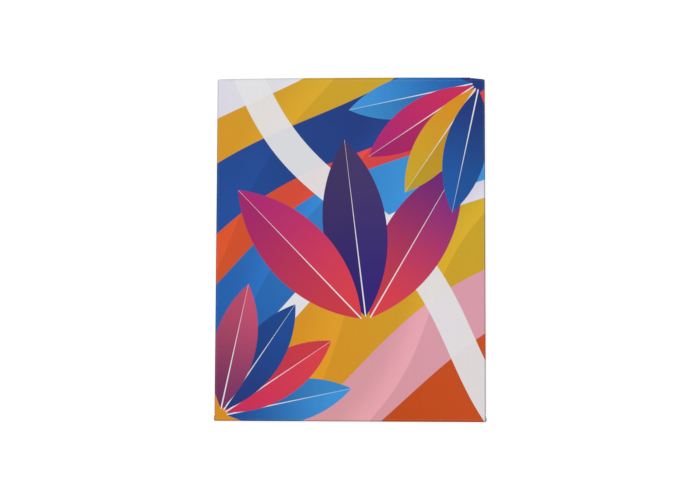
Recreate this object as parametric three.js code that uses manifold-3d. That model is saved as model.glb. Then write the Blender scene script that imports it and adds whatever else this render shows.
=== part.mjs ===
import * as THREE from "three";
import Module from "manifold-3d";

// A stay-flat mailing envelope of printed board, empty, with its closing flap folded behind it.
// It lies on the flap, printed front up. X runs across it and +Y towards its top, in millimetres.
// The board is drawn as a flat die-cut blank, seen from its printed face, and then folded.

// Folded size, over the folds
const WIDTH = 228.6;
const HEIGHT = 292.1;

// Board, the air between layers that only lie on each other, and the air that the springy side
// folds leave between the front and the glue flaps of an empty envelope
const BOARD = 0.9;
const CLEARANCE = 0.3;
const POCKET_CLEARANCE = 1;
const BEND_STEPS = 12;
const CORNER_STEPS = 8;

// Side glue flaps, folded in and glued to the back panel
const GLUE_FLAP_WIDTH = 22;
const GLUE_FLAP_LOW_SLANT = 12;
const GLUE_FLAP_HIGH_SLANT = 16;
const GLUE_FLAP_CORNER = 4;

// Bottom corners, where the ends of the bottom fold flare out a little past the side folds
const EAR_REACH = 0.7;
const EAR_HEIGHT = 5;
const EAR_NOTCH = 0.8;

// Top corners, whose cut edge runs down from beside the closing flap to the side folds
const SHOULDER_WIDTH = 12;
const SHOULDER_DROP = 1.5;
const SHOULDER_START = 0.4;
const SHOULDER_SLIT = 0.4;

// Back panel
const BACK_SIDE_INSET = 1.6;
const BACK_TOP_INSET = 7;
const BACK_TOP_CORNER = 3;
const BACK_EAR_SLANT = 2.5;

// Closing flap
const FLAP_DEPTH = 50;
const FLAP_SIDE_SLANT = 11;
const FLAP_CORNER = 12;

// Tear strip, a band of the closing flap between two perforated rows
const TEAR_START = 9;
const TEAR_WIDTH = 10;
const SLOT_LENGTH = 3;
const SLOT_WIDTH = 0.5;
const SLOT_BRIDGE = 2;
const SLOT_END_MARGIN = 5;
const TAB_NOTCH_DEPTH = 3;
const TAB_NOTCH_WIDTH = 3;

// Tear tape on the inner face of the tear strip
const TAPE_WIDTH = 6;
const TAPE_THICKNESS = 0.15;
const TAPE_END_MARGIN = 0.5;

// Adhesive along the flap's free edge, and the release liner over it
const ADHESIVE_WIDTH = 16;
const ADHESIVE_THICKNESS = 0.15;
const ADHESIVE_EDGE_MARGIN = 6;
const ADHESIVE_END_MARGIN = 8;
const LINER_THICKNESS = 0.15;
const LINER_LIFT = 3;
const LINER_END_OVERHANG = 2;

// Height of each layer's printed face. The front faces up and every other layer faces down.
const FLAP_OUTER = 0;
const FLAP_INNER = FLAP_OUTER + BOARD;
const FITTING_HEIGHT = Math.max(ADHESIVE_THICKNESS + LINER_THICKNESS, TAPE_THICKNESS);
const BACK_OUTER = FLAP_INNER + FITTING_HEIGHT + CLEARANCE;
const GLUE_FLAP_OUTER = BACK_OUTER + BOARD;
const FRONT_OUTER = GLUE_FLAP_OUTER + BOARD + POCKET_CLEARANCE + BOARD;

// A fold from the front down to a layer whose printed face lies at farOuter.
// Its length is measured on the blank, along the middle of the board.
function fold(farOuter) {
  const radius = (FRONT_OUTER - farOuter) / 2;
  return { farOuter, radius, length: Math.PI * (radius - BOARD / 2) };
}

const sideFold = fold(GLUE_FLAP_OUTER);
const bottomFold = fold(BACK_OUTER);
const topFold = fold(FLAP_OUTER);

// Lines on the blank where each fold starts, on the front, and where the next panel starts
const SIDE_CREASE = WIDTH / 2 - sideFold.radius;
const BOTTOM_CREASE = -HEIGHT / 2 + bottomFold.radius;
const TOP_CREASE = HEIGHT / 2 - topFold.radius;
const GLUE_FLAP_START = SIDE_CREASE + sideFold.length;
const BACK_START = BOTTOM_CREASE - bottomFold.length;
const FLAP_START = TOP_CREASE + topFold.length;

// Where a point of the blank goes, past the crease of a fold: how far out from that crease, and up.
// Depth runs from the printed face into the board.
function bent(bend, past, depth) {
  if (past <= 0) return [past, FRONT_OUTER - depth];
  if (past >= bend.length) return [bend.length - past, bend.farOuter + depth];
  const angle = (Math.PI * past) / bend.length;
  const radius = bend.radius - depth;
  return [radius * Math.sin(angle), FRONT_OUTER - bend.radius + radius * Math.cos(angle)];
}

function placeFront(u, v, depth) {
  return [u, v, FRONT_OUTER - depth];
}

function placeSide(u, v, depth) {
  const [out, up] = bent(sideFold, Math.abs(u) - SIDE_CREASE, depth);
  return [Math.sign(u) * (SIDE_CREASE + out), v, up];
}

function placeBack(u, v, depth) {
  const [out, up] = bent(bottomFold, BOTTOM_CREASE - v, depth);
  return [u, BOTTOM_CREASE - out, up];
}

function placeFlap(u, v, depth) {
  const [out, up] = bent(topFold, v - TOP_CREASE, depth);
  return [u, TOP_CREASE + out, up];
}

// Outlines run anticlockwise. Each corner is [u, v] or, where it is rounded, [u, v, radius].
function rounded(corners) {
  const outline = [];
  corners.forEach(([u, v, radius = 0], i) => {
    if (radius === 0) {
      outline.push([u, v]);
      return;
    }
    const corner = new THREE.Vector2(u, v);
    const [lastU, lastV] = corners[(i + corners.length - 1) % corners.length];
    const [nextU, nextV] = corners[(i + 1) % corners.length];
    const back = new THREE.Vector2(lastU, lastV).sub(corner).normalize();
    const ahead = new THREE.Vector2(nextU, nextV).sub(corner).normalize();
    const half = Math.acos(back.dot(ahead)) / 2;
    const turn = Math.sign(ahead.cross(back)) * (Math.PI - 2 * half);
    const middle = back.clone().add(ahead).setLength(radius / Math.sin(half)).add(corner);
    const first = back.multiplyScalar(radius / Math.tan(half)).add(corner).sub(middle);
    for (let step = 0; step <= CORNER_STEPS; step++) {
      const spoke = first.clone().rotateAround(new THREE.Vector2(), (turn * step) / CORNER_STEPS);
      outline.push([middle.x + spoke.x, middle.y + spoke.y]);
    }
  });
  return outline;
}

function rectangle(u0, v0, u1, v1) {
  return [
    [u0, v0],
    [u1, v0],
    [u1, v1],
    [u0, v1],
  ];
}

function mirrored(outline) {
  return outline.map(([u, v]) => [-u, v]).reverse();
}

// The strips that a fold is bent in, as outlines across the blank from one line to another
function foldStrips(length, strip) {
  return Array.from({ length: BEND_STEPS }, (_, i) =>
    strip((length * i) / BEND_STEPS, (length * (i + 1)) / BEND_STEPS),
  );
}

// Outline of the front, with its ears at the bottom and its shoulders beside the closing flap
const SIDE = WIDTH / 2;
const EAR_SIDE = WIDTH / 2 + EAR_REACH;
const EAR_TOP = -HEIGHT / 2 + EAR_HEIGHT;
const GLUE_FLAP_LOW = EAR_TOP + EAR_NOTCH;
const GLUE_FLAP_HIGH = HEIGHT / 2 - SHOULDER_DROP;
const FLAP_ROOT = WIDTH / 2 - SHOULDER_WIDTH;

function frontOutline() {
  const right = [
    [EAR_SIDE, BOTTOM_CREASE],
    [SIDE, EAR_TOP],
    [SIDE_CREASE, GLUE_FLAP_LOW],
    [SIDE_CREASE, GLUE_FLAP_HIGH],
    [FLAP_ROOT + SHOULDER_SLIT, HEIGHT / 2 - SHOULDER_START],
    [FLAP_ROOT, TOP_CREASE],
  ];
  return [...right, ...mirrored(right)];
}

function glueFlapOutline() {
  const edge = GLUE_FLAP_START + GLUE_FLAP_WIDTH;
  return rounded([
    [GLUE_FLAP_START, GLUE_FLAP_LOW],
    [edge, GLUE_FLAP_LOW + GLUE_FLAP_LOW_SLANT, GLUE_FLAP_CORNER],
    [edge, GLUE_FLAP_HIGH - GLUE_FLAP_HIGH_SLANT, GLUE_FLAP_CORNER],
    [GLUE_FLAP_START, GLUE_FLAP_HIGH],
  ]);
}

// The back panel's outline, with its bottom at the top of the blank's drawing of it
function backOutline() {
  const side = SIDE - BACK_SIDE_INSET;
  const earEnd = BACK_START - (EAR_HEIGHT - bottomFold.radius);
  const top = BACK_START - (HEIGHT - bottomFold.radius - BACK_TOP_INSET);
  const left = [
    [-EAR_SIDE, BACK_START],
    [-SIDE, earEnd],
    [-side, earEnd - BACK_EAR_SLANT],
    [-side, top, BACK_TOP_CORNER],
  ];
  const right = left.map(([u, ...rest]) => [-u, ...rest]).reverse();
  return rounded([...left, ...right]);
}

// Half the closing flap's width, at a distance past its fold
function flapHalfWidth(past) {
  return FLAP_ROOT - (FLAP_SIDE_SLANT * past) / FLAP_DEPTH;
}

// The closing flap's outline. At its right-hand end the tear strip has a notch on each side.
function flapOutline() {
  const notches = [TEAR_START, TEAR_START + TEAR_WIDTH].flatMap((row) => [
    [flapHalfWidth(row - TAB_NOTCH_WIDTH / 2), FLAP_START + row - TAB_NOTCH_WIDTH / 2],
    [flapHalfWidth(row) - TAB_NOTCH_DEPTH, FLAP_START + row],
    [flapHalfWidth(row + TAB_NOTCH_WIDTH / 2), FLAP_START + row + TAB_NOTCH_WIDTH / 2],
  ]);
  return rounded([
    [-FLAP_ROOT, FLAP_START],
    [FLAP_ROOT, FLAP_START],
    ...notches,
    [flapHalfWidth(FLAP_DEPTH), FLAP_START + FLAP_DEPTH, FLAP_CORNER],
    [-flapHalfWidth(FLAP_DEPTH), FLAP_START + FLAP_DEPTH, FLAP_CORNER],
  ]);
}

// A closed mesh of one folded sheet, from one depth to another below the printed face. Patches that
// share an edge of the blank share its corners. An edge that only one triangle uses is a cut edge,
// which gets a wall through the sheet.
function foldedSheet(patches, from, to) {
  const corners = new Map();
  const outer = [];
  const inner = [];
  const faces = [];
  for (const { outline, place } of patches) {
    const ids = outline.map(([u, v]) => {
      const key = `${Math.round(u * 1e4)},${Math.round(v * 1e4)}`;
      if (!corners.has(key)) {
        corners.set(key, outer.length);
        outer.push(place(u, v, from));
        inner.push(place(u, v, to));
      }
      return corners.get(key);
    });
    const points = outline.map(([u, v]) => new THREE.Vector2(u, v));
    for (const face of THREE.ShapeUtils.triangulateShape(points, [])) {
      faces.push(face.map((corner) => ids[corner]));
    }
  }
  const edges = faces.flatMap(([a, b, c]) => [
    [a, b],
    [b, c],
    [c, a],
  ]);
  const used = new Set(edges.map(([a, b]) => `${a},${b}`));
  const cut = edges.filter(([a, b]) => !used.has(`${b},${a}`));
  const below = outer.length;
  const index = [
    ...faces.flat(),
    ...faces.flatMap(([a, b, c]) => [a + below, c + below, b + below]),
    ...cut.flatMap(([a, b]) => [b, a, a + below, b, a + below, b + below]),
  ];
  return { positions: [...outer, ...inner].flat(), index };
}

const wasm = await Module();
wasm.setup();

function solidOf({ positions, index }) {
  return new wasm.Manifold(
    new wasm.Mesh({
      numProp: 3,
      vertProperties: new Float32Array(positions),
      triVerts: new Uint32Array(index),
    }),
  );
}

function geometryOf(solid) {
  const { vertProperties, triVerts } = solid.getMesh();
  const geometry = new THREE.BufferGeometry();
  geometry.setAttribute("position", new THREE.BufferAttribute(vertProperties, 3));
  geometry.setIndex(new THREE.BufferAttribute(triVerts, 1));
  geometry.computeVertexNormals();
  return geometry;
}

// The cutter of one slot, through the closing flap and a little past both its faces
function slotCutter(u, v) {
  const outline = rectangle(
    u - SLOT_LENGTH / 2,
    v - SLOT_WIDTH / 2,
    u + SLOT_LENGTH / 2,
    v + SLOT_WIDTH / 2,
  );
  return solidOf(foldedSheet([{ outline, place: placeFlap }], -CLEARANCE, BOARD + CLEARANCE));
}

// Both perforated rows, centred across the flap between their end margins
function perforated(sheet) {
  const pitch = SLOT_LENGTH + SLOT_BRIDGE;
  let solid = sheet;
  for (const row of [TEAR_START, TEAR_START + TEAR_WIDTH]) {
    const reach = flapHalfWidth(row) - SLOT_END_MARGIN;
    const count = Math.floor((2 * reach + SLOT_BRIDGE) / pitch);
    for (let i = 0; i < count; i++) {
      const u = (i - (count - 1) / 2) * pitch;
      solid = solid.subtract(slotCutter(u, FLAP_START + row));
    }
  }
  return solid;
}

function foldedBoard() {
  const sides = [
    glueFlapOutline(),
    ...foldStrips(sideFold.length, (from, to) =>
      rectangle(SIDE_CREASE + from, GLUE_FLAP_LOW, SIDE_CREASE + to, GLUE_FLAP_HIGH),
    ),
  ];
  const closing = [
    flapOutline(),
    ...foldStrips(topFold.length, (from, to) =>
      rectangle(-FLAP_ROOT, TOP_CREASE + from, FLAP_ROOT, TOP_CREASE + to),
    ),
  ];
  const back = [
    backOutline(),
    ...foldStrips(bottomFold.length, (from, to) =>
      rectangle(-EAR_SIDE, BOTTOM_CREASE - to, EAR_SIDE, BOTTOM_CREASE - from),
    ),
  ];
  const frontPatches = [
    { outline: frontOutline(), place: placeFront },
    ...sides.map((outline) => ({ outline, place: placeSide })),
    ...sides.map((outline) => ({ outline: mirrored(outline), place: placeSide })),
    ...closing.map((outline) => ({ outline, place: placeFlap })),
  ];
  const backPatches = back.map((outline) => ({ outline, place: placeBack }));
  const frontSheet = perforated(solidOf(foldedSheet(frontPatches, 0, BOARD)));
  const backSheet = solidOf(foldedSheet(backPatches, 0, BOARD));
  // The two sheets meet along the bottom crease and where the glue flaps lie on the back.
  return frontSheet.add(backSheet);
}

// A thin strip on the flap's inner face, as seen from inside: y runs back from the top crease.
function stripGeometry(near, far, halfNear, halfFar, thickness) {
  const shape = new THREE.Shape([
    new THREE.Vector2(-halfFar, -far),
    new THREE.Vector2(halfFar, -far),
    new THREE.Vector2(halfNear, -near),
    new THREE.Vector2(-halfNear, -near),
  ]);
  return new THREE.ExtrudeGeometry(shape, { depth: thickness, bevelEnabled: false });
}

function tearTapeGeometry() {
  const near = TEAR_START + (TEAR_WIDTH - TAPE_WIDTH) / 2;
  const far = near + TAPE_WIDTH;
  return stripGeometry(
    near,
    far,
    flapHalfWidth(near) - TAPE_END_MARGIN,
    flapHalfWidth(far) - TAPE_END_MARGIN,
    TAPE_THICKNESS,
  );
}

const ADHESIVE_FAR = FLAP_DEPTH - ADHESIVE_EDGE_MARGIN;
const ADHESIVE_NEAR = ADHESIVE_FAR - ADHESIVE_WIDTH;
const ADHESIVE_HALF_LENGTH = flapHalfWidth(ADHESIVE_FAR) - ADHESIVE_END_MARGIN;

function adhesiveGeometry() {
  return stripGeometry(
    ADHESIVE_NEAR,
    ADHESIVE_FAR,
    ADHESIVE_HALF_LENGTH,
    ADHESIVE_HALF_LENGTH,
    ADHESIVE_THICKNESS,
  );
}

function linerGeometry() {
  const halfLength = ADHESIVE_HALF_LENGTH + LINER_END_OVERHANG;
  return stripGeometry(
    ADHESIVE_NEAR,
    ADHESIVE_FAR + LINER_LIFT,
    halfLength,
    halfLength,
    LINER_THICKNESS,
  );
}

function piece(name, geometry, color, roughness) {
  const material = new THREE.MeshStandardMaterial({ color, roughness, metalness: 0 });
  const mesh = new THREE.Mesh(geometry, material);
  mesh.name = name;
  return mesh;
}

const board = piece("folded_board", geometryOf(foldedBoard()), 0xe4e4e6, 0.5);
const adhesive = piece("adhesive_strip", adhesiveGeometry(), 0xd9d3b8, 0.35);
const liner = piece("release_liner", linerGeometry(), 0xf2f2ee, 0.4);
const tape = piece("tear_tape", tearTapeGeometry(), 0xb9382f, 0.35);

// What is stuck on the flap lies on its inner face, measured from the top crease.
const fittings = new THREE.Group();
fittings.position.set(0, TOP_CREASE, FLAP_INNER);
liner.position.z = ADHESIVE_THICKNESS;
fittings.add(adhesive, liner, tape);

const envelope = new THREE.Group();
envelope.name = "stay_flat_envelope";
envelope.add(board, fittings);

export default envelope;
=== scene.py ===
"""A stay-flat mailing envelope of printed board, empty, lying on its closing flap."""

import math

import bpy
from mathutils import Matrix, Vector, geometry, noise


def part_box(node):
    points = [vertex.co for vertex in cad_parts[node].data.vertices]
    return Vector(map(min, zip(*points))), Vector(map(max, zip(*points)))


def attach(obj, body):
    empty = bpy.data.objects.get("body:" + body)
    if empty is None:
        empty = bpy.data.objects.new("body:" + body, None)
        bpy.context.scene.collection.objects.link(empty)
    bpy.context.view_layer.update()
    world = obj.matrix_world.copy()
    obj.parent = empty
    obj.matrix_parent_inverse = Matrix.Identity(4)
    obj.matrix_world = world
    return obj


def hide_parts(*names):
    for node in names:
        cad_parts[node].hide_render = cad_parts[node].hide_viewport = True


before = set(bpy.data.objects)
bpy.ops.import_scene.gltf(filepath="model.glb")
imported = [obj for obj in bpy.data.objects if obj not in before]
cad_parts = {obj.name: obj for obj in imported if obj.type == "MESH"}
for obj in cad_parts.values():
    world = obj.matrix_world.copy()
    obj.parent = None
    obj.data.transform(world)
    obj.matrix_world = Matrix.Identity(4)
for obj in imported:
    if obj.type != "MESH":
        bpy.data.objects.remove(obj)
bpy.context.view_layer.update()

MM = 0.001

# Sizes in millimetres. What the frame holds is read from it, and the rest is the blank's own.
board_low, board_high = (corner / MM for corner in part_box("folded_board"))
adhesive_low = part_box("adhesive_strip")[0] / MM
HEIGHT = board_high.y - board_low.y
EAR_SIDE = board_high.x
FRONT_OUTER = board_high.z
BOARD = adhesive_low.z
EAR_REACH = 0.7
WIDTH = 2 * (EAR_SIDE - EAR_REACH)
SIDE = WIDTH / 2
CLEARANCE = 0.3
POCKET_CLEARANCE = 1
GLUE_FILM = 0.02
BACK_OUTER = FRONT_OUTER - 3 * BOARD - POCKET_CLEARANCE

# The blank's outline: glue flaps, bottom corners, top corners, back panel and closing flap
GLUE_FLAP_WIDTH = 22
GLUE_FLAP_LOW_SLANT = 12
GLUE_FLAP_HIGH_SLANT = 16
GLUE_FLAP_CORNER = 4
EAR_HEIGHT = 5
EAR_NOTCH = 0.8
SHOULDER_WIDTH = 12
SHOULDER_DROP = 1.5
SHOULDER_START = 0.4
BACK_SIDE_INSET = 1.6
BACK_TOP_INSET = 7
BACK_TOP_CORNER = 3
BACK_EAR_SLANT = 2.5
FLAP_DEPTH = 50
FLAP_SIDE_SLANT = 11
FLAP_CORNER = 12
TEAR_START = 9
TEAR_WIDTH = 10
SLOT_LENGTH = 3
SLOT_WIDTH = 0.5
SLOT_BRIDGE = 2
SLOT_END_MARGIN = 5
TAB_NOTCH_DEPTH = 3
TAB_NOTCH_WIDTH = 3

# How the left corners differ from the right ones, and how far the cuts beside the closing flap
# stay open
LEFT_SHOULDER_RISE = 0.7
LEFT_EAR_REACH = 0.3
SHOULDER_SLIT = 0.15

# How the board gives: pressed crease lines, a slight bow and ripple in the front, crushed ends of
# the folds, and a top fold that isn't pressed tight
GROOVE_DEPTH = 0.1
GROOVE_REACH = 0.35
PANEL_BOW = 0.35
PANEL_RIPPLE = 0.1
RIPPLE_SIZE = 70.0
BOW_POWER = 0.75
CORNER_CRUSH = 0.6
TOP_BULGE = 0.6
TOP_BULGE_MIDDLE = 30.0
TOP_BULGE_REACH = 125.0

# How finely the board is made
BEND_STEPS = 20
CORNER_STEPS = 16
CRUSH_STEPS = 8
TOP_FOLD_SPLITS = 24
GROOVE_STEPS = (0.5, 1, 2)
GRID = 6.0
GRID_MARGIN = 1.5
LINE_OVERRUN = 1
SHARP_ANGLE = math.radians(40)

# Points of the blank that are nearer than this become one, and the slack when places are compared
MERGE_REACH = 1e-5
NEAR = 1e-3

# How far the print runs past each fold, onto the back and the closing flap
BLEED = 8.0


class Fold:
    """A bend from the front down to a layer whose printed face lies at far_outer."""

    def __init__(self, far_outer):
        self.far_outer = far_outer
        self.radius = (FRONT_OUTER - far_outer) / 2
        self.length = math.pi * (self.radius - BOARD / 2)

    def groove(self, past):
        """How deep the pressed crease lines at both ends of the bend lie in the printed face."""
        ends = (past, past - self.length)
        return sum(GROOVE_DEPTH * math.exp(-((end / GROOVE_REACH) ** 2)) for end in ends)

    def place(self, past, depth, bulge=0.0):
        """How far out from the crease, and how high, a point of the blank goes.

        The middle of the bend stands out by the bulge, past a round bend.
        """
        depth += self.groove(past) * (1 - depth / BOARD)
        if past <= 0:
            return past, FRONT_OUTER - depth
        if past >= self.length:
            return self.length - past, self.far_outer + depth
        angle = math.pi * past / self.length
        radius = self.radius - depth
        out = (radius + bulge) * math.sin(angle)
        return out, FRONT_OUTER - self.radius + radius * math.cos(angle)


side_fold = Fold(BACK_OUTER + BOARD + GLUE_FILM)
bottom_fold = Fold(BACK_OUTER)
top_fold = Fold(0.0)

SIDE_CREASE = SIDE - side_fold.radius
BOTTOM_CREASE = -HEIGHT / 2 + bottom_fold.radius
TOP_CREASE = HEIGHT / 2 - top_fold.radius
GLUE_FLAP_START = SIDE_CREASE + side_fold.length
BACK_START = BOTTOM_CREASE - bottom_fold.length
FLAP_START = TOP_CREASE + top_fold.length
EAR_TOP = -HEIGHT / 2 + EAR_HEIGHT
GLUE_FLAP_LOW = EAR_TOP + EAR_NOTCH
GLUE_FLAP_HIGH = HEIGHT / 2 - SHOULDER_DROP
FLAP_ROOT = SIDE - SHOULDER_WIDTH


# The flat blank

def rounded(corners):
    """An outline whose corners [u, v, radius] are arcs."""
    outline = []
    for i, (u, v, radius) in enumerate(corners):
        corner = Vector((u, v))
        if radius == 0:
            outline.append(corner)
            continue
        back = (Vector(corners[i - 1][:2]) - corner).normalized()
        ahead = (Vector(corners[(i + 1) % len(corners)][:2]) - corner).normalized()
        half = back.angle(ahead) / 2
        turn = math.copysign(math.pi - 2 * half, ahead.cross(back))
        middle = corner + (back + ahead).normalized() * radius / math.sin(half)
        first = corner + back * radius / math.tan(half) - middle
        start = math.atan2(first.y, first.x)
        for step in range(CORNER_STEPS + 1):
            angle = start + turn * step / CORNER_STEPS
            outline.append(middle + radius * Vector((math.cos(angle), math.sin(angle))))
    return outline


def flap_half_width(past):
    """Half the closing flap's width at a distance past its fold."""
    return FLAP_ROOT - FLAP_SIDE_SLANT * past / FLAP_DEPTH


def crushed(fold):
    """Distances across a fold, and how far the end of the fold is pressed in at each."""
    shares = [step / CRUSH_STEPS for step in range(CRUSH_STEPS + 1)]
    return [(fold.length * share, CORNER_CRUSH * math.sin(math.pi * share)) for share in shares]


def blank_outline():
    """The whole die-cut blank, anticlockwise from the free edge of the back panel."""
    back_side = SIDE - BACK_SIDE_INSET
    back_top = BACK_START - (HEIGHT - bottom_fold.radius - BACK_TOP_INSET)
    ear_end = BACK_START - (EAR_HEIGHT - bottom_fold.radius)
    glue_edge = GLUE_FLAP_START + GLUE_FLAP_WIDTH
    right = [
        (back_side, back_top, BACK_TOP_CORNER),
        (back_side, ear_end - BACK_EAR_SLANT, 0),
        (SIDE, ear_end, 0),
        *((EAR_SIDE - crush, BACK_START + past, 0) for past, crush in crushed(bottom_fold)),
        (SIDE, EAR_TOP, 0),
        (SIDE_CREASE, GLUE_FLAP_LOW, 0),
        (GLUE_FLAP_START, GLUE_FLAP_LOW, 0),
        (glue_edge, GLUE_FLAP_LOW + GLUE_FLAP_LOW_SLANT, GLUE_FLAP_CORNER),
        (glue_edge, GLUE_FLAP_HIGH - GLUE_FLAP_HIGH_SLANT, GLUE_FLAP_CORNER),
        *((GLUE_FLAP_START - past, GLUE_FLAP_HIGH - crush, 0) for past, crush in crushed(side_fold)),
        (FLAP_ROOT + SHOULDER_SLIT, HEIGHT / 2 - SHOULDER_START, 0),
        (FLAP_ROOT, TOP_CREASE, 0),
        (FLAP_ROOT, FLAP_START, 0),
    ]
    notches = []
    for row in (TEAR_START, TEAR_START + TEAR_WIDTH):
        for side in (-1, 0, 1):
            past = row + side * TAB_NOTCH_WIDTH / 2
            inset = TAB_NOTCH_DEPTH if side == 0 else 0
            notches.append((flap_half_width(past) - inset, FLAP_START + past, 0))
    end = (flap_half_width(FLAP_DEPTH), FLAP_START + FLAP_DEPTH, FLAP_CORNER)
    left = []
    for u, v, radius in reversed([*right, end]):
        if v < EAR_TOP + NEAR:
            u = min(u, SIDE + LEFT_EAR_REACH)
        if u > SIDE_CREASE - NEAR and GLUE_FLAP_HIGH - 2 * CORNER_CRUSH < v < HEIGHT / 2:
            v += LEFT_SHOULDER_RISE
        left.append((-u, v, radius))
    return rounded([*right, *notches, end, *left])


def fold_steps(fold):
    """Where the lines of a fold run, as distances past its crease."""
    steps = [fold.length * step / BEND_STEPS for step in range(BEND_STEPS + 1)]
    edges = [GROOVE_REACH * share for share in GROOVE_STEPS]
    return [*(-edge for edge in edges), *steps, *(fold.length + edge for edge in edges)]


def fold_lines():
    """Every line that a fold is bent along, as pairs of points of the blank."""
    lines = []
    reach = FLAP_ROOT + LINE_OVERRUN
    stops = [reach * (2 * i / TOP_FOLD_SPLITS - 1) for i in range(TOP_FOLD_SPLITS + 1)]
    for past in fold_steps(top_fold):
        for ends in zip(stops, stops[1:]):
            lines.append([Vector((u, TOP_CREASE + past)) for u in ends])
    reach = EAR_SIDE + LINE_OVERRUN
    for past in fold_steps(bottom_fold):
        lines.append([Vector((side * reach, BOTTOM_CREASE - past)) for side in (-1, 1)])
    ends = (GLUE_FLAP_LOW - LINE_OVERRUN, GLUE_FLAP_HIGH + LINE_OVERRUN)
    for side in (-1, 1):
        for past in fold_steps(side_fold):
            lines.append([Vector((side * (SIDE_CREASE + past), v)) for v in ends])
    return lines


def near_a_fold(u, v):
    """True where the fold lines already give the blank its points."""
    across = -GRID_MARGIN < v - TOP_CREASE < top_fold.length + GRID_MARGIN
    along = -GRID_MARGIN < BOTTOM_CREASE - v < bottom_fold.length + GRID_MARGIN
    beside = -GRID_MARGIN < abs(u) - SIDE_CREASE < side_fold.length + GRID_MARGIN
    return across or along or beside


def inside(point, outline):
    """Even-odd test of a point against a closed outline."""
    odd = False
    for a, b in zip(outline, outline[1:] + outline[:1]):
        if (a.y > point.y) != (b.y > point.y):
            crossing = a.x + (point.y - a.y) / (b.y - a.y) * (b.x - a.x)
            odd ^= point.x < crossing
    return odd


def flat_triangles():
    """The blank's points and triangles, with an edge along each line that it is bent on."""
    outline = blank_outline()
    points = list(outline)
    edges = [(i, (i + 1) % len(outline)) for i in range(len(outline))]
    for ends in fold_lines():
        edges.append((len(points), len(points) + 1))
        points.extend(ends)
    reach = max(abs(point.x) for point in outline)
    low = min(point.y for point in outline)
    high = max(point.y for point in outline)
    for column in range(int(-reach // GRID), int(reach // GRID) + 1):
        for row in range(int(low // GRID), int(high // GRID) + 1):
            point = Vector(((column + 0.5) * GRID, (row + 0.5) * GRID))
            if inside(point, outline) and not near_a_fold(*point):
                points.append(point)
    made = geometry.delaunay_2d_cdt(points, edges, [], 0, MERGE_REACH)
    flat, faces = made[0], made[2]
    kept = []
    for face in faces:
        centre = sum((flat[i] for i in face), Vector((0, 0))) / 3
        if inside(centre, outline):
            kept.append(tuple(face))
    return flat, kept


# The folded board

def panel_lift(u, v):
    """How far the front stands up from flat: a slight bow, with a ripple, gone at the folds."""
    across = max(0.0, 1 - (u / SIDE_CREASE) ** 2)
    along = max(0.0, 1 - (v / TOP_CREASE) ** 2)
    still = (across * along) ** BOW_POWER
    ripple = noise.noise(Vector((u, v, 0)) / RIPPLE_SIZE)
    return still * (PANEL_BOW + PANEL_RIPPLE * ripple)


def top_bulge(u):
    """How far the top fold stands out past a round bend: most of it right of the middle."""
    return TOP_BULGE * max(0.0, 1 - ((u - TOP_BULGE_MIDDLE) / TOP_BULGE_REACH) ** 2)


def folded(u, v, depth):
    """Where a point of the blank lies in the folded envelope, in millimetres."""
    if v < BOTTOM_CREASE:
        out, up = bottom_fold.place(BOTTOM_CREASE - v, depth)
        return Vector((u, BOTTOM_CREASE - out, up))
    if v > TOP_CREASE and abs(u) < FLAP_ROOT + NEAR:
        out, up = top_fold.place(v - TOP_CREASE, depth, top_bulge(u))
        return Vector((u, TOP_CREASE + out, up))
    if abs(u) > SIDE_CREASE and v > GLUE_FLAP_LOW - NEAR:
        out, up = side_fold.place(abs(u) - SIDE_CREASE, depth)
        return Vector((math.copysign(SIDE_CREASE + out, u), v, up))
    pressed = bottom_fold.groove(BOTTOM_CREASE - v)
    if v > GLUE_FLAP_LOW:
        pressed = max(pressed, side_fold.groove(abs(u) - SIDE_CREASE))
    if abs(u) < FLAP_ROOT + NEAR:
        pressed = max(pressed, top_fold.groove(v - TOP_CREASE))
    depth += pressed * (1 - depth / BOARD)
    return Vector((u, v, FRONT_OUTER - depth + panel_lift(u, v)))


def board_mesh(printed, inner, edge):
    """The closed shell of the folded blank, with its place on the blank kept in an attribute."""
    flat, faces = flat_triangles()
    used = sorted({i for face in faces for i in face})
    order = {old: new for new, old in enumerate(used)}
    faces = [tuple(order[i] for i in face) for face in faces]
    flat = [flat[i] for i in used]
    count = len(flat)
    sides = {(a, b) for face in faces for a, b in zip(face, face[1:] + face[:1])}
    cut = [(a, b) for a, b in sides if (b, a) not in sides]
    cut.sort()
    walls = [(b, a, a + count, b + count) for a, b in cut]
    backs = [tuple(i + count for i in reversed(face)) for face in faces]
    places = [folded(*point, 0.0) * MM for point in flat]
    places += [folded(*point, BOARD) * MM for point in flat]
    mesh = bpy.data.meshes.new("envelope_board")
    mesh.from_pydata(places, [], [*faces, *backs, *walls])
    for material in (printed, inner, edge):
        mesh.materials.append(material)
    slots = [0] * len(faces) + [1] * len(backs) + [2] * len(walls)
    mesh.polygons.foreach_set("material_index", slots)
    blank = mesh.attributes.new("blank", "FLOAT_VECTOR", "POINT")
    for depth, first in ((0.0, 0), (BOARD, count)):
        for i, point in enumerate(flat):
            blank.data[first + i].vector = (point.x * MM, point.y * MM, depth * MM)
    return mesh


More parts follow.
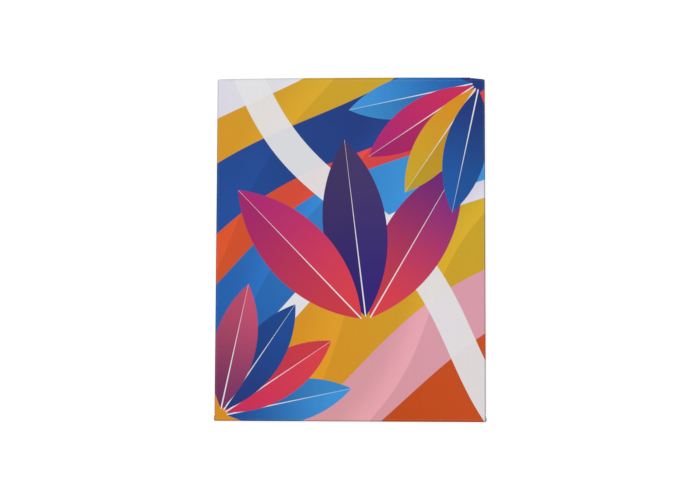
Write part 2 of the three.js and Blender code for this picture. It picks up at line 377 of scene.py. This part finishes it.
def perforation_tree():
    """Geometry nodes for one row of slot cutters, centred across the flap."""
    tree = bpy.data.node_groups.new("perforation_row", "GeometryNodeTree")
    sockets = {}
    for name, kind in (
        ("Slot Length", "NodeSocketFloat"),
        ("Slot Width", "NodeSocketFloat"),
        ("Cut Depth", "NodeSocketFloat"),
        ("Pitch", "NodeSocketFloat"),
        ("Count", "NodeSocketInt"),
        ("Start", "NodeSocketVector"),
        ("Material", "NodeSocketMaterial"),
    ):
        made = tree.interface.new_socket(name, in_out="INPUT", socket_type=kind)
        sockets[name] = made.identifier
    tree.interface.new_socket("Geometry", in_out="OUTPUT", socket_type="NodeSocketGeometry")
    nodes, links = tree.nodes, tree.links
    source = nodes.new("NodeGroupInput")
    result = nodes.new("NodeGroupOutput")
    size = nodes.new("ShaderNodeCombineXYZ")
    links.new(source.outputs["Slot Length"], size.inputs["X"])
    links.new(source.outputs["Slot Width"], size.inputs["Y"])
    links.new(source.outputs["Cut Depth"], size.inputs["Z"])
    slot = nodes.new("GeometryNodeMeshCube")
    links.new(size.outputs[0], slot.inputs["Size"])
    step = nodes.new("ShaderNodeCombineXYZ")
    links.new(source.outputs["Pitch"], step.inputs["X"])
    row = nodes.new("GeometryNodeMeshLine")
    row.mode = "OFFSET"
    links.new(source.outputs["Count"], row.inputs["Count"])
    links.new(source.outputs["Start"], row.inputs["Start Location"])
    links.new(step.outputs[0], row.inputs["Offset"])
    spread = nodes.new("GeometryNodeInstanceOnPoints")
    links.new(row.outputs["Mesh"], spread.inputs["Points"])
    links.new(slot.outputs["Mesh"], spread.inputs["Instance"])
    real = nodes.new("GeometryNodeRealizeInstances")
    links.new(spread.outputs["Instances"], real.inputs["Geometry"])
    dress = nodes.new("GeometryNodeSetMaterial")
    links.new(real.outputs["Geometry"], dress.inputs["Geometry"])
    links.new(source.outputs["Material"], dress.inputs["Material"])
    links.new(dress.outputs["Geometry"], result.inputs[0])
    return tree, sockets


def settled(piece):
    """Turns an object with modifiers into one with a plain mesh."""
    view = bpy.context.evaluated_depsgraph_get()
    mesh = bpy.data.meshes.new_from_object(piece.evaluated_get(view), depsgraph=view)
    piece.modifiers.clear()
    piece.data = mesh
    return piece


def new_piece(name, mesh):
    piece = bpy.data.objects.new(name, mesh)
    bpy.context.scene.collection.objects.link(piece)
    return piece


def slot_row(tree, sockets, past, material):
    """The cutters of the perforated row at a distance past the closing flap's fold."""
    pitch = SLOT_LENGTH + SLOT_BRIDGE
    reach = flap_half_width(past) - SLOT_END_MARGIN
    count = int((2 * reach + SLOT_BRIDGE) // pitch)
    start = folded(-(count - 1) / 2 * pitch, FLAP_START + past, BOARD / 2)
    row = new_piece("slot_row", bpy.data.meshes.new("slot_row"))
    nodes = row.modifiers.new("perforation_row", "NODES")
    nodes.node_group = tree
    nodes[sockets["Slot Length"]] = SLOT_LENGTH * MM
    nodes[sockets["Slot Width"]] = SLOT_WIDTH * MM
    nodes[sockets["Cut Depth"]] = (BOARD + CLEARANCE) * MM
    nodes[sockets["Pitch"]] = pitch * MM
    nodes[sockets["Count"]] = count
    nodes[sockets["Start"]] = start * MM
    nodes[sockets["Material"]] = material
    return settled(row)


def mark_flap(mesh):
    """Gives the corners of the cut slots their place on the blank, worked back from the flap."""
    blank = mesh.attributes["blank"]
    for i, vertex in enumerate(mesh.vertices):
        x, y, z = vertex.co / MM
        if z < BOARD + NEAR and y < TOP_CREASE - NEAR:
            blank.data[i].vector = Vector((x, FLAP_START + TOP_CREASE - y, z)) * MM


def make_board(printed, inner, edge):
    """The printed board, folded, with the tear strip's two perforated rows cut through it."""
    piece = new_piece("envelope_board", board_mesh(printed, inner, edge))
    tree, sockets = perforation_tree()
    for past in (TEAR_START, TEAR_START + TEAR_WIDTH):
        row = slot_row(tree, sockets, past, edge)
        cut = piece.modifiers.new("perforate", "BOOLEAN")
        cut.operation = "DIFFERENCE"
        cut.solver = "MANIFOLD"
        cut.material_mode = "TRANSFER"
        cut.object = row
        settled(piece)
        bpy.data.objects.remove(row)
    mark_flap(piece.data)
    piece.data.shade_smooth()
    piece.data.set_sharp_from_angle(angle=SHARP_ANGLE)
    return piece


# Small tools for shader nodes

def linear(red, green, blue):
    """A colour as a screen shows it, 0 to 255, in the renderer's own scale, by the sRGB curve."""
    made = []
    for value in (red, green, blue):
        share = value / 255
        dark = share / 12.92
        bright = ((share + 0.055) / 1.055) ** 2.4
        made.append(dark if share <= 0.04045 else bright)
    return (*made, 1.0)


def plug(tree, socket, value):
    """Sets a socket to a value, or links it to another socket."""
    if isinstance(value, bpy.types.NodeSocket):
        tree.links.new(value, socket)
    else:
        socket.default_value = value


def calc(tree, operation, *values, clamp=False):
    node = tree.nodes.new("ShaderNodeMath")
    node.operation = operation
    node.use_clamp = clamp
    for socket, value in zip(node.inputs, values):
        plug(tree, socket, value)
    return node.outputs[0]


def ramp(tree, value, low, high, first=0.0, last=1.0):
    """A value carried smoothly from first to last as it goes from low to high."""
    node = tree.nodes.new("ShaderNodeMapRange")
    node.interpolation_type = "SMOOTHSTEP"
    for socket, given in zip(node.inputs, (value, low, high, first, last)):
        plug(tree, socket, given)
    return node.outputs[0]


def mixed(tree, factor, first, second):
    """A colour between two. Inputs 6 and 7 and output 2 are the mix node's colour sockets."""
    node = tree.nodes.new("ShaderNodeMix")
    node.data_type = "RGBA"
    plug(tree, node.inputs[0], factor)
    plug(tree, node.inputs[6], first)
    plug(tree, node.inputs[7], second)
    return node.outputs[2]


def toned(tree, value, colour):
    """A colour made lighter or darker."""
    node = tree.nodes.new("ShaderNodeHueSaturation")
    plug(tree, node.inputs["Value"], value)
    plug(tree, node.inputs["Color"], colour)
    return node.outputs[0]


def clouds(tree, place, size, detail=3.0, stretch=(1, 1, 1)):
    """Noise whose lumps are about size millimetres across, times the stretch on each axis."""
    turn = tree.nodes.new("ShaderNodeMapping")
    tree.links.new(place, turn.inputs["Vector"])
    turn.inputs["Scale"].default_value = [1 / (size * MM * share) for share in stretch]
    node = tree.nodes.new("ShaderNodeTexNoise")
    node.inputs["Scale"].default_value = 1.0
    node.inputs["Detail"].default_value = detail
    tree.links.new(turn.outputs[0], node.inputs["Vector"])
    return node.outputs[0]


def blank_place(tree):
    """A point's place on the flat blank: the vector in metres, and across, along and depth in mm."""
    node = tree.nodes.new("ShaderNodeAttribute")
    node.attribute_name = "blank"
    parts = tree.nodes.new("ShaderNodeSeparateXYZ")
    tree.links.new(node.outputs["Vector"], parts.inputs[0])
    return node.outputs["Vector"], [calc(tree, "DIVIDE", part, MM) for part in parts.outputs]


def new_material(name, roughness, gloss=0.5):
    """A material with its node tree and its Principled shader."""
    material = bpy.data.materials.new(name)
    material.use_nodes = True
    shader = material.node_tree.nodes["Principled BSDF"]
    shader.inputs["Roughness"].default_value = roughness
    shader.inputs["Specular IOR Level"].default_value = gloss
    return material, material.node_tree, shader


def raised(tree, shader, height, distance):
    """Bumps the surface by a height of 0 to 1, whose full step is distance in millimetres."""
    node = tree.nodes.new("ShaderNodeBump")
    node.inputs["Strength"].default_value = 1.0
    node.inputs["Distance"].default_value = distance * MM
    tree.links.new(height, node.inputs["Height"])
    tree.links.new(node.outputs[0], shader.inputs["Normal"])


# Paper fibre

MOTTLE_SIZE = 14.0
GRAIN_SIZE = 0.5
GRAIN_DETAIL = 4.0
GRAIN_STRETCH = (1, 9, 1)


def fibre_group():
    """Paper fibre: a fine mottle and short streaks along the board's grain."""
    tree = bpy.data.node_groups.new("paper_fibre", "ShaderNodeTree")
    tree.interface.new_socket("Place", in_out="INPUT", socket_type="NodeSocketVector")
    tree.interface.new_socket("Mottle", in_out="OUTPUT", socket_type="NodeSocketFloat")
    tree.interface.new_socket("Grain", in_out="OUTPUT", socket_type="NodeSocketFloat")
    place = tree.nodes.new("NodeGroupInput").outputs[0]
    result = tree.nodes.new("NodeGroupOutput")
    mottle = clouds(tree, place, MOTTLE_SIZE)
    grain = clouds(tree, place, GRAIN_SIZE, GRAIN_DETAIL, GRAIN_STRETCH)
    tree.links.new(mottle, result.inputs["Mottle"])
    tree.links.new(grain, result.inputs["Grain"])
    return tree


def fibre(tree, group, place):
    """The paper fibre's mottle and grain at a place."""
    node = tree.nodes.new("ShaderNodeGroup")
    node.node_tree = group
    tree.links.new(place, node.inputs["Place"])
    return node.outputs["Mottle"], node.outputs["Grain"]


# The print: flowing ribbons of colour with fans of leaves over them

PAPER = (229, 229, 231)
LAVENDER = (215, 211, 227)
MUSTARD = (201, 166, 40)
AMBER = (218, 142, 28)
ROYAL = (23, 74, 150)
NAVY = (29, 52, 120)
PLUM = (119, 48, 96)
PINK = (221, 158, 176)
SALMON = (217, 152, 158)
ROSE = (199, 79, 112)
ORANGE = (206, 80, 30)
BURNT = (189, 70, 8)
CORAL = (218, 62, 72)
CRIMSON = (203, 42, 88)
MAGENTA = (172, 34, 112)
VIOLET = (110, 38, 126)
INDIGO = (47, 28, 117)
DUSK = (66, 52, 102)
SKY = (60, 149, 218)
LAKE = (28, 92, 170)

# Half the width of the soft rim of every printed edge
PRINT_EDGE = 0.16

# Each ribbon starts at a height across the flow: height, wave height, wave length, phase, colours.
# Along the flow, each goes from its first colour to its last.
FLOW_ANGLE = math.radians(33)
COLOUR_RUN = 150.0
FIRST_RIBBON = (BURNT, ORANGE)
RIBBONS = (
    (-132, 10, 60, 0.5, SALMON, PINK),
    (-88, 14, 60, 0.8, AMBER, MUSTARD),
    (-24, 16, 58, 1.2, PAPER, LAVENDER),
    (-9, 16, 58, 1.2, LAKE, SKY),
    (40, 15, 57, 1.7, ORANGE, CORAL),
    (64, 13, 58, 2.2, ROYAL, NAVY),
    (112, 11, 60, 2.6, AMBER, MUSTARD),
    (150, 9, 60, 3.1, LAVENDER, PAPER),
)

# Soft bands where the ribbons' colours are lighter: height, wave height, wave length, phase,
# half width and how much lighter.
BAND_ANGLE = math.radians(58)
BANDS = (
    (-86, 9, 40, 0.3, 13, 0.2),
    (-30, 12, 46, 1.4, 20, 0.14),
    (38, 10, 52, 2.4, 11, 0.22),
    (92, 8, 44, 0.9, 17, 0.16),
)

# A white ribbon that crosses the others, and lets a little of them through: height, wave height,
# wave length, phase and half width.
CROSSING_ANGLE = math.radians(-52)
CROSSING = (24, 12, 48, 0.6, 13)
CROSSING_COVER = 0.9

# Fans of leaves. Each has a root, the first leaf's direction, the step to the next, the leaves'
# half length and half width, and each leaf's colours from its stalk to its tip.
FANS = (
    (14, -64, 60, 37, 76, 27, ((CORAL, VIOLET), (INDIGO, DUSK), (CORAL, MAGENTA))),
    (-110, -142, 12, 22, 54, 18, ((ROYAL, SKY), (CRIMSON, CORAL), (NAVY, ROYAL), (PLUM, ROSE))),
    (110, 142, 192, 22, 54, 18, ((LAKE, SKY), (CRIMSON, MAGENTA), (AMBER, MUSTARD), (NAVY, LAKE))),
)
LEAF_STALK = 6
HALF_SHADE = 0.16
MIDRIB_ROOT = 0.55
MIDRIB_TIP = 0.1
INK = (0, 0, 0)

# Noise mostly lies between these two values.
NOISE_LOW = 0.3
NOISE_HIGH = 0.7

# Painted shade over each fold, deeper on the right fold than the left: how much darker the print is
# there, and the middle share of the fold that is fully so
LEFT_FOLD_SHADE = 0.3
RIGHT_FOLD_SHADE = 0.58
TOP_FOLD_SHADE = 0.1
BOTTOM_FOLD_SHADE = 0.34
SHADE_CORE = 0.4
SHADE_SIDE_CHANGE = 1.0

# The coating's cracks at the creases: how far they reach, the size of their spots, the least that
# one is cracked, and how much white shows through
CRACK_CORE = 0.1
CRACK_REACH = 0.4
CRACK_SIZE = 1.6
CRACK_LEAST = 0.2
CRACK_COVER = 0.08

# The coating: its gloss and roughness, how far grain and streaks change its tone, and its bumps
PRINT_GLOSS = 0.12
PRINT_ROUGHNESS = 0.42
SHEEN_ROUGHNESS = (0.4, 0.5)
GRAIN_TONE = 0.015
STREAK_SIZE = 1.6
STREAK_DETAIL = 2.0
STREAK_STRETCH = (1, 120, 1)
STREAK_TONE = 0.006
PRINT_BUMP = 0.012


def edge_mask(tree, distance):
    """1 inside a printed shape, 0 outside, from the distance in millimetres to its edge."""
    return ramp(tree, distance, -PRINT_EDGE, PRINT_EDGE, 1.0, 0.0)


def leaf_group():
    """A pointed leaf between two arcs, with how far along it a point lies, its half and midrib."""
    tree = bpy.data.node_groups.new("leaf", "ShaderNodeTree")
    for name in ("Across", "Along", "Middle Across", "Middle Along", "Turn", "Length", "Width"):
        tree.interface.new_socket(name, in_out="INPUT", socket_type="NodeSocketFloat")
    for name in ("Leaf", "Grade", "Half", "Midrib"):
        tree.interface.new_socket(name, in_out="OUTPUT", socket_type="NodeSocketFloat")
    given = tree.nodes.new("NodeGroupInput").outputs
    result = tree.nodes.new("NodeGroupOutput").inputs
    x = calc(tree, "SUBTRACT", given["Across"], given["Middle Across"])
    y = calc(tree, "SUBTRACT", given["Along"], given["Middle Along"])
    cosine = calc(tree, "COSINE", given["Turn"])
    sine = calc(tree, "SINE", given["Turn"])
    run = calc(tree, "MULTIPLY_ADD", x, cosine, calc(tree, "MULTIPLY", y, sine))
    rise = calc(tree, "SUBTRACT", calc(tree, "MULTIPLY", y, cosine), calc(tree, "MULTIPLY", x, sine))
    length, width = given["Length"], given["Width"]
    squares = calc(tree, "MULTIPLY_ADD", length, length, calc(tree, "MULTIPLY", width, width))
    radius = calc(tree, "DIVIDE", squares, calc(tree, "MULTIPLY", width, 2.0))
    drop = calc(tree, "SUBTRACT", radius, width)
    high = calc(tree, "ADD", calc(tree, "ABSOLUTE", rise), drop)
    reach = calc(tree, "MULTIPLY_ADD", run, run, calc(tree, "MULTIPLY", high, high))
    distance = calc(tree, "SUBTRACT", calc(tree, "SQRT", reach), radius)
    leaf = edge_mask(tree, distance)
    tree.links.new(leaf, result["Leaf"])
    tail = calc(tree, "MULTIPLY", length, -1.0)
    tree.links.new(ramp(tree, run, tail, length), result["Grade"])
    tree.links.new(ramp(tree, rise, -PRINT_EDGE, PRINT_EDGE), result["Half"])
    taper = ramp(tree, run, tail, length, MIDRIB_ROOT, MIDRIB_TIP)
    rib = calc(tree, "SUBTRACT", calc(tree, "ABSOLUTE", rise), taper)
    tree.links.new(calc(tree, "MULTIPLY", leaf, edge_mask(tree, rib)), result["Midrib"])
    return tree


def flow(tree, across, along, angle):
    """A point's place along and across a direction of flow."""
    cosine, sine = math.cos(angle), math.sin(angle)
    run = calc(tree, "MULTIPLY_ADD", across, cosine, calc(tree, "MULTIPLY", along, sine))
    rise = calc(tree, "MULTIPLY_ADD", along, cosine, calc(tree, "MULTIPLY", across, -sine))
    return run, rise


def above_wave(tree, run, rise, height, wave, length, phase):
    """How far a point lies above a waved line across the flow."""
    turn = calc(tree, "MULTIPLY_ADD", run, 1 / length, phase)
    level = calc(tree, "MULTIPLY_ADD", calc(tree, "SINE", turn), wave, height)
    return calc(tree, "SUBTRACT", rise, level)


def ribbons(tree, across, along):
    """The ribbons' colours at a point of the blank."""
    run, rise = flow(tree, across, along, FLOW_ANGLE)
    shift = ramp(tree, run, -COLOUR_RUN, COLOUR_RUN)
    colour = mixed(tree, shift, *(linear(*shade) for shade in FIRST_RIBBON))
    for *line, first, last in RIBBONS:
        above = ramp(tree, above_wave(tree, run, rise, *line), -PRINT_EDGE, PRINT_EDGE)
        colour = mixed(tree, above, colour, mixed(tree, shift, linear(*first), linear(*last)))
    return colour


def bands(tree, across, along, colour):
    """Makes the ribbons lighter in soft bands. Each has one sharp side and one that fades."""
    run, rise = flow(tree, across, along, BAND_ANGLE)
    value = 1.0
    for *line, width, gain in BANDS:
        above = above_wave(tree, run, rise, *line)
        start = ramp(tree, above, -PRINT_EDGE, PRINT_EDGE)
        fade = ramp(tree, above, 0.0, 2.0 * width, gain, 0.0)
        value = calc(tree, "MULTIPLY_ADD", start, fade, value)
    return toned(tree, value, colour)


def crossing(tree, across, along, colour):
    """Lays the white ribbon over the others."""
    *line, width = CROSSING
    above = above_wave(tree, *flow(tree, across, along, CROSSING_ANGLE), *line)
    distance = calc(tree, "SUBTRACT", calc(tree, "ABSOLUTE", above), width)
    cover = calc(tree, "MULTIPLY", edge_mask(tree, distance), CROSSING_COVER)
    return mixed(tree, cover, colour, linear(*PAPER))


def leaves(tree, across, along, colour):
    """Lays the fans of leaves over a colour."""
    group = leaf_group()
    for root_across, root_along, first_turn, step, length, width, shades in FANS:
        for i, (first, last) in enumerate(shades):
            turn = math.radians(first_turn + step * i)
            reach = LEAF_STALK + length
            middle = (root_across + reach * math.cos(turn), root_along + reach * math.sin(turn))
            node = tree.nodes.new("ShaderNodeGroup")
            node.node_tree = group
            for socket, value in zip(node.inputs, (across, along, *middle, turn, length, width)):
                plug(tree, socket, value)
            grade = mixed(tree, node.outputs["Grade"], linear(*first), linear(*last))
            deep = calc(tree, "MULTIPLY", node.outputs["Half"], HALF_SHADE)
            shaded = mixed(tree, deep, grade, linear(*INK))
            colour = mixed(tree, node.outputs["Leaf"], colour, shaded)
            colour = mixed(tree, node.outputs["Midrib"], colour, linear(*PAPER))
    return colour


def fold_shade_and_cracks(tree, place, across, along):
    """Painted shade over each fold, deeper on the right than the left, and how far the print's
    coating has cracked at the creases.
    """
    sideways = calc(tree, "ABSOLUTE", across)
    side_shade = ramp(tree, across, -SHADE_SIDE_CHANGE, SHADE_SIDE_CHANGE, LEFT_FOLD_SHADE, RIGHT_FOLD_SHADE)
    shade, crack = 0.0, 0.0
    # Each fold's painted shade is deepest over the middle of its bend
    for fold, past, deepest_shade in (
        (side_fold, calc(tree, "SUBTRACT", sideways, SIDE_CREASE), side_shade),
        (top_fold, calc(tree, "SUBTRACT", along, TOP_CREASE), TOP_FOLD_SHADE),
        (bottom_fold, calc(tree, "SUBTRACT", BOTTOM_CREASE, along), BOTTOM_FOLD_SHADE),
    ):
        half = fold.length / 2
        middle = calc(tree, "ABSOLUTE", calc(tree, "SUBTRACT", past, half))
        bend_shade = ramp(tree, middle, SHADE_CORE * half, half, deepest_shade, 0.0)
        shade = calc(tree, "MAXIMUM", shade, bend_shade)
        line = ramp(tree, calc(tree, "ABSOLUTE", past), CRACK_CORE, CRACK_REACH, 1.0, 0.0)
        crack = calc(tree, "MAXIMUM", crack, line)
    spots = clouds(tree, place, CRACK_SIZE)
    broken = ramp(tree, spots, NOISE_LOW, NOISE_HIGH, CRACK_LEAST, 1.0)
    return shade, calc(tree, "MULTIPLY", crack, broken)


def printed_material(group):
    """Coated board, printed to the edge of the front and a little past its folds."""
    material, tree, shader = new_material("coated_print", PRINT_ROUGHNESS, PRINT_GLOSS)
    place, (across, along, _) = blank_place(tree)
    colour = ribbons(tree, across, along)
    colour = bands(tree, across, along, colour)
    colour = crossing(tree, across, along, colour)
    colour = leaves(tree, across, along, colour)
    above = calc(tree, "SUBTRACT", along, FLAP_START + BLEED)
    below = calc(tree, "SUBTRACT", BACK_START - BLEED, along)
    bare = calc(tree, "MAXIMUM", above, below)
    colour = mixed(tree, edge_mask(tree, bare), linear(*PAPER), colour)
    mottle, grain = fibre(tree, group, place)
    # Painted shade over the folds, and the coating's cracks at the creases, which are wear
    shade, crack = fold_shade_and_cracks(tree, place, across, along)
    colour = mixed(tree, calc(tree, "MULTIPLY", crack, CRACK_COVER), colour, linear(*PAPER))
    lines = clouds(tree, place, STREAK_SIZE, STREAK_DETAIL, STREAK_STRETCH)
    streaks = ramp(tree, lines, NOISE_LOW, NOISE_HIGH, -STREAK_TONE, STREAK_TONE)
    tone = ramp(tree, grain, NOISE_LOW, NOISE_HIGH, 1 - GRAIN_TONE, 1 + GRAIN_TONE)
    value = calc(tree, "ADD", tone, streaks)
    # The folds' painted shade is taken off the print's value here and added to its roughness below
    colour = toned(tree, calc(tree, "SUBTRACT", value, shade), colour)
    plug(tree, shader.inputs["Base Color"], colour)
    sheen = ramp(tree, mottle, NOISE_LOW, NOISE_HIGH, *SHEEN_ROUGHNESS)
    plug(tree, shader.inputs["Roughness"], calc(tree, "ADD", sheen, shade, clamp=True))
    raised(tree, shader, calc(tree, "SUBTRACT", grain, crack), PRINT_BUMP)
    return material


# The bare board

INSIDE_DARK = (206, 202, 194)
INSIDE_LIGHT = (220, 217, 210)
INSIDE_FIBRE = (196, 191, 182)
INSIDE_ROUGHNESS = 0.85
INSIDE_BUMP = 0.03

EDGE_DARK = (188, 182, 172)
EDGE_LIGHT = (222, 218, 210)
EDGE_ROUGHNESS = 0.9
EDGE_BUMP = 0.04

# The pressed layers: how fast they follow each other through the board, in radians a millimetre,
# and how much they show
LAYER_RATE = 30.0
LAYER_SHADE = 0.2


def inner_material(group):
    """The board's bare inner face."""
    material, tree, shader = new_material("board_inside", INSIDE_ROUGHNESS)
    place, _ = blank_place(tree)
    mottle, grain = fibre(tree, group, place)
    colour = mixed(tree, mottle, linear(*INSIDE_DARK), linear(*INSIDE_LIGHT))
    plug(tree, shader.inputs["Base Color"], mixed(tree, grain, colour, linear(*INSIDE_FIBRE)))
    raised(tree, shader, grain, INSIDE_BUMP)
    return material


def edge_material(group):
    """The board's cut edge: pressed layers of fibre, a little darker than its faces."""
    material, tree, shader = new_material("board_edge", EDGE_ROUGHNESS)
    place, (_, _, depth) = blank_place(tree)
    _, grain = fibre(tree, group, place)
    layers = calc(tree, "SINE", calc(tree, "MULTIPLY", depth, LAYER_RATE))
    shade = calc(tree, "MULTIPLY_ADD", layers, LAYER_SHADE, grain, clamp=True)
    colour = mixed(tree, shade, linear(*EDGE_DARK), linear(*EDGE_LIGHT))
    plug(tree, shader.inputs["Base Color"], colour)
    raised(tree, shader, shade, EDGE_BUMP)
    return material


# What is stuck on the closing flap

ADHESIVE_DARK = (214, 206, 176)
ADHESIVE_LIGHT = (226, 220, 196)
ADHESIVE_ROUGHNESS = 0.25
ADHESIVE_BUMP = 0.03
RIB_SIZE = 0.8
RIB_DETAIL = 2.0
RIB_STRETCH = (1, 12, 1)

LINER_DARK = (236, 235, 228)
LINER_LIGHT = (246, 245, 240)
LINER_ROUGHNESS = 0.3
LINER_BUMP = 0.008
LINER_MOTTLE_SIZE = 9.0
LINER_GRAIN_SIZE = 0.6

TAPE_DARK = (168, 40, 34)
TAPE_LIGHT = (198, 58, 48)
TAPE_ROUGHNESS = 0.28
TAPE_BUMP = 0.02
FILM_STREAK_SIZE = 0.4
FILM_STREAK_DETAIL = 3.0
FILM_STREAK_STRETCH = (40, 1, 1)


def object_place(tree):
    return tree.nodes.new("ShaderNodeTexCoord").outputs["Object"]


def adhesive_material():
    """Clear hot-melt adhesive, with the faint ribs that its roller leaves."""
    material, tree, shader = new_material("adhesive", ADHESIVE_ROUGHNESS)
    place = object_place(tree)
    ribs = clouds(tree, place, RIB_SIZE, RIB_DETAIL, RIB_STRETCH)
    colour = mixed(tree, ribs, linear(*ADHESIVE_DARK), linear(*ADHESIVE_LIGHT))
    plug(tree, shader.inputs["Base Color"], colour)
    raised(tree, shader, ribs, ADHESIVE_BUMP)
    return material


def liner_material():
    """Glazed white release paper."""
    material, tree, shader = new_material("release_paper", LINER_ROUGHNESS)
    place = object_place(tree)
    mottle = clouds(tree, place, LINER_MOTTLE_SIZE)
    colour = mixed(tree, mottle, linear(*LINER_DARK), linear(*LINER_LIGHT))
    plug(tree, shader.inputs["Base Color"], colour)
    raised(tree, shader, clouds(tree, place, LINER_GRAIN_SIZE), LINER_BUMP)
    return material


def tape_material():
    """Red drawn film, streaked along its length."""
    material, tree, shader = new_material("tear_film", TAPE_ROUGHNESS)
    place = object_place(tree)
    streaks = clouds(tree, place, FILM_STREAK_SIZE, FILM_STREAK_DETAIL, FILM_STREAK_STRETCH)
    colour = mixed(tree, streaks, linear(*TAPE_DARK), linear(*TAPE_LIGHT))
    plug(tree, shader.inputs["Base Color"], colour)
    raised(tree, shader, streaks, TAPE_BUMP)
    return material


def dress(node, material):
    """Gives one of the frame's own nodes its material."""
    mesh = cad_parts[node].data
    mesh.materials.clear()
    mesh.materials.append(material)


# The setting, in metres, watts and degrees

WHITE = (1, 1, 1, 1)
FLOOR_REACH = 6.0
FLOOR_HEIGHT = -0.0001
FLOOR_PAINT = (0.5, 0.5, 0.5, 1)
FLOOR_GLOW = 0.66

# The world's strength as light, and as the camera and mirrors see it
WORLD_LIGHT = 0.68
WORLD_SEEN = 1.0

LAMP_SIZE = 1.6
KEY_PLACE = (-0.9, 0.7, 1.6)
KEY_POWER = 10.5
FILL_PLACE = (1.1, -0.6, 1.5)
FILL_POWER = 5.0

CAMERA_PLACE = (0.0417, -0.0824, 1.1969)
CAMERA_TURN = (3.891, 2.0, 0.18)
LENS_LENGTH = 72.5
SENSOR_WIDTH = 36.0


def make_floor():
    """A plain white floor that keeps the envelope's soft shadow."""
    mesh = bpy.data.meshes.new("floor")
    turns = [(-1, -1), (1, -1), (1, 1), (-1, 1)]
    corners = [(x * FLOOR_REACH, y * FLOOR_REACH, FLOOR_HEIGHT) for x, y in turns]
    mesh.from_pydata(corners, [], [(0, 1, 2, 3)])
    material = bpy.data.materials.new("floor")
    material.use_nodes = True
    tree = material.node_tree
    tree.nodes.clear()
    paint = tree.nodes.new("ShaderNodeBsdfDiffuse")
    paint.inputs["Color"].default_value = FLOOR_PAINT
    glow = tree.nodes.new("ShaderNodeEmission")
    seen = tree.nodes.new("ShaderNodeLightPath")
    direct = calc(tree, "MAXIMUM", seen.outputs["Is Camera Ray"], seen.outputs["Is Glossy Ray"])
    plug(tree, glow.inputs["Strength"], calc(tree, "MULTIPLY", direct, FLOOR_GLOW))
    total = tree.nodes.new("ShaderNodeAddShader")
    result = tree.nodes.new("ShaderNodeOutputMaterial")
    tree.links.new(paint.outputs[0], total.inputs[0])
    tree.links.new(glow.outputs[0], total.inputs[1])
    tree.links.new(total.outputs[0], result.inputs["Surface"])
    mesh.materials.append(material)
    new_piece("floor", mesh)


def make_world():
    """Even white light all round, and white behind the envelope."""
    world = bpy.data.worlds.new("studio")
    bpy.context.scene.world = world
    world.use_nodes = True
    tree = world.node_tree
    tree.nodes.clear()
    seen = tree.nodes.new("ShaderNodeLightPath")
    plain = tree.nodes.new("ShaderNodeBackground")
    direct = calc(tree, "MAXIMUM", seen.outputs["Is Camera Ray"], seen.outputs["Is Glossy Ray"])
    direct = calc(tree, "MAXIMUM", direct, seen.outputs["Is Transmission Ray"])
    plug(tree, plain.inputs["Strength"], ramp(tree, direct, 0.0, 1.0, WORLD_LIGHT, WORLD_SEEN))
    result = tree.nodes.new("ShaderNodeOutputWorld")
    tree.links.new(plain.outputs[0], result.inputs["Surface"])
    plain.inputs["Color"].default_value = WHITE


def make_lamp(name, place, power):
    """A square studio lamp, aimed at the middle of the envelope."""
    light = bpy.data.lights.new(name, "AREA")
    light.shape = "SQUARE"
    light.size = LAMP_SIZE
    light.energy = power
    lamp = bpy.data.objects.new(name, light)
    lamp.location = place
    lamp.rotation_euler = Vector(place).to_track_quat("Z", "Y").to_euler()
    bpy.context.scene.collection.objects.link(lamp)


def make_camera():
    """The photograph's view: from above, a little towards the bottom edge and the right."""
    lens = bpy.data.cameras.new("camera")
    lens.lens = LENS_LENGTH
    lens.sensor_width = SENSOR_WIDTH
    camera = bpy.data.objects.new("camera", lens)
    camera.location = CAMERA_PLACE
    camera.rotation_euler = [math.radians(angle) for angle in CAMERA_TURN]
    bpy.context.scene.collection.objects.link(camera)
    bpy.context.scene.camera = camera


paper_fibre = fibre_group()
printed_board = printed_material(paper_fibre)
board_inside = inner_material(paper_fibre)
board_edge = edge_material(paper_fibre)

board = make_board(printed_board, board_inside, board_edge)
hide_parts("folded_board")
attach(board, "root")

dress("adhesive_strip", adhesive_material())
dress("release_liner", liner_material())
dress("tear_tape", tape_material())

make_floor()
make_world()
make_lamp("key_lamp", KEY_PLACE, KEY_POWER)
make_lamp("fill_lamp", FILL_PLACE, FILL_POWER)
make_camera()
bpy.context.scene.view_settings.view_transform = "Standard"
